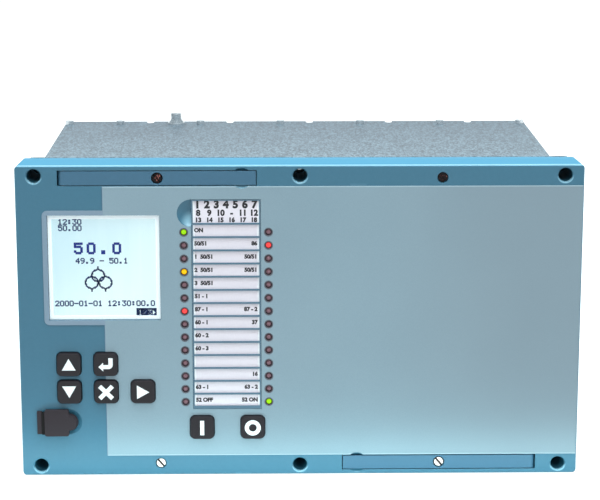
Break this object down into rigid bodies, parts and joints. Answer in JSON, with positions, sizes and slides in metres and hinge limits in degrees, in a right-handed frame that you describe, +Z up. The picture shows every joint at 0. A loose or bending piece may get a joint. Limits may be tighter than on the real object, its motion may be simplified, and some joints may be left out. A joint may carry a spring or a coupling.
{
  "type": "monitoring relay",
  "caption": "Flush-mounting relay in a half-rack steel case, with display, lamp legend, keys, flush handles and a withdrawable unit.",
  "frame": {"origin": "centre of the panel fixing pattern, on the rear face of the case flange that meets the panel", "axes": "+X to the right seen from the front, +Y from the front into the case, +Z up"},
  "size_m": [0.3116, 0.2355, 0.177],
  "materials": {
    "zinc_sheet": "galvanised, fine speckle",
    "screw_steel": "bright zinc plated",
    "sheet_steel": "zinc plated sheet",
    "runner_plastic": "moulded",
    "terminal_plastic": "moulded, satin",
    "port_shield": "tinned",
    "plug_plastic": "moulded",
    "bezel_plastic": "fine texture",
    "silver_film": "fine grained metallic film",
    "clear_window": "clear",
    "display_white": "moulded",
    "display_picture": "lit display",
    "dark_parts": "moulded",
    "legend_paper": "printed card",
    "legend_bars": "moulded",
    "lamp_dark": "unlit lens",
    "lamp_green": "lit lens",
    "lamp_amber": "lit lens",
    "lamp_red": "lit lens",
    "board_green": "solder mask",
    "power_metal": "mixed power parts",
    "relay_case": "sealed case",
    "transformer_tape": "taped ring core",
    "key_plastic": "satin",
    "cover_rubber": "moulded rubber"
  },
  "bodies": {
    "case": {"case_shell": "zinc_sheet", "rear_plate": "zinc_sheet", "rear_folds": "zinc_sheet", "case_screws": "screw_steel", "earth_screw": "screw_steel", "earth_washers": "screw_steel", "screw_bushes": "screw_steel", "unit_runners": "runner_plastic", "terminal_block_1": "terminal_plastic", "terminal_block_2": "terminal_plastic", "terminal_block_3": "terminal_plastic", "terminal_block_4": "terminal_plastic", "terminal_block_5": "terminal_plastic", "terminal_screws": "screw_steel", "block_screws": "screw_steel", "network_port_1": "port_shield", "network_port_2": "port_shield", "serial_plug": "plug_plastic"},
    "unit": {"bezel": "bezel_plastic", "front_film": "silver_film", "display_window": "clear_window", "display_border_frame": "display_white", "display_glass": "display_picture", "display_module": "dark_parts", "legend_card": "legend_paper", "legend_frame": "legend_bars", "lamp_holders": "dark_parts", "lamps_off": "lamp_dark", "lamps_green": "lamp_green", "lamp_amber": "lamp_amber", "lamps_red": "lamp_red", "front_board": "board_green", "key_switches": "dark_parts", "port_socket": "port_shield", "cover_anchor": "cover_rubber", "securing_screws": "screw_steel", "handle_pins": "screw_steel", "front_plate": "sheet_steel", "side_plates": "sheet_steel", "side_feet": "sheet_steel", "tie_bars": "sheet_steel", "processor_card": "board_green", "power_card": "board_green", "relay_card_1": "board_green", "relay_card_2": "board_green", "transformer_card": "board_green", "power_parts": "power_metal", "output_relays": "relay_case", "current_transformers": "transformer_tape", "card_plugs": "terminal_plastic"},
    "key_up": {"key_up": "key_plastic"},
    "key_down": {"key_down": "key_plastic"},
    "key_enter": {"key_enter": "key_plastic"},
    "key_cancel": {"key_cancel": "key_plastic"},
    "key_right": {"key_right": "key_plastic"},
    "key_closing": {"key_closing": "key_plastic"},
    "key_opening": {"key_opening": "key_plastic"},
    "handle_top": {"handle_top": "bezel_plastic"},
    "handle_bottom": {"handle_bottom": "bezel_plastic"},
    "port_cover": {"port_cover": "cover_rubber"}
  },
  "joints": [
    {"name": "withdraw", "type": "slide", "parent": "case", "child": "unit", "axis": [0, -1, 0], "range_m": [0, 0.18]},
    {"name": "press_up", "type": "slide", "parent": "unit", "child": "key_up", "axis": [0, 1, 0], "range_m": [0, 0.001], "stiffness_N_per_m": 400, "springref_m": -0.002},
    {"name": "press_down", "type": "slide", "parent": "unit", "child": "key_down", "axis": [0, 1, 0], "range_m": [0, 0.001], "stiffness_N_per_m": 400, "springref_m": -0.002},
    {"name": "press_enter", "type": "slide", "parent": "unit", "child": "key_enter", "axis": [0, 1, 0], "range_m": [0, 0.001], "stiffness_N_per_m": 400, "springref_m": -0.002},
    {"name": "press_cancel", "type": "slide", "parent": "unit", "child": "key_cancel", "axis": [0, 1, 0], "range_m": [0, 0.001], "stiffness_N_per_m": 400, "springref_m": -0.002},
    {"name": "press_right", "type": "slide", "parent": "unit", "child": "key_right", "axis": [0, 1, 0], "range_m": [0, 0.001], "stiffness_N_per_m": 400, "springref_m": -0.002},
    {"name": "press_closing", "type": "slide", "parent": "unit", "child": "key_closing", "axis": [0, 1, 0], "range_m": [0, 0.001], "stiffness_N_per_m": 400, "springref_m": -0.002},
    {"name": "press_opening", "type": "slide", "parent": "unit", "child": "key_opening", "axis": [0, 1, 0], "range_m": [0, 0.001], "stiffness_N_per_m": 400, "springref_m": -0.002},
    {"name": "swing_handle_top", "type": "hinge", "parent": "unit", "child": "handle_top", "pos_m": [-0.1294, -0.02695, 0.0816], "axis": [0, 0, -1], "range_deg": [0, 90]},
    {"name": "swing_handle_bottom", "type": "hinge", "parent": "unit", "child": "handle_bottom", "pos_m": [0.1294, -0.02695, -0.0816], "axis": [0, 0, 1], "range_deg": [0, 90]},
    {"name": "open_port_cover", "type": "hinge", "parent": "unit", "child": "port_cover", "pos_m": [-0.14335, -0.0316, -0.0572], "axis": [0, 0, -1], "range_deg": [0, 120]}
  ]
}
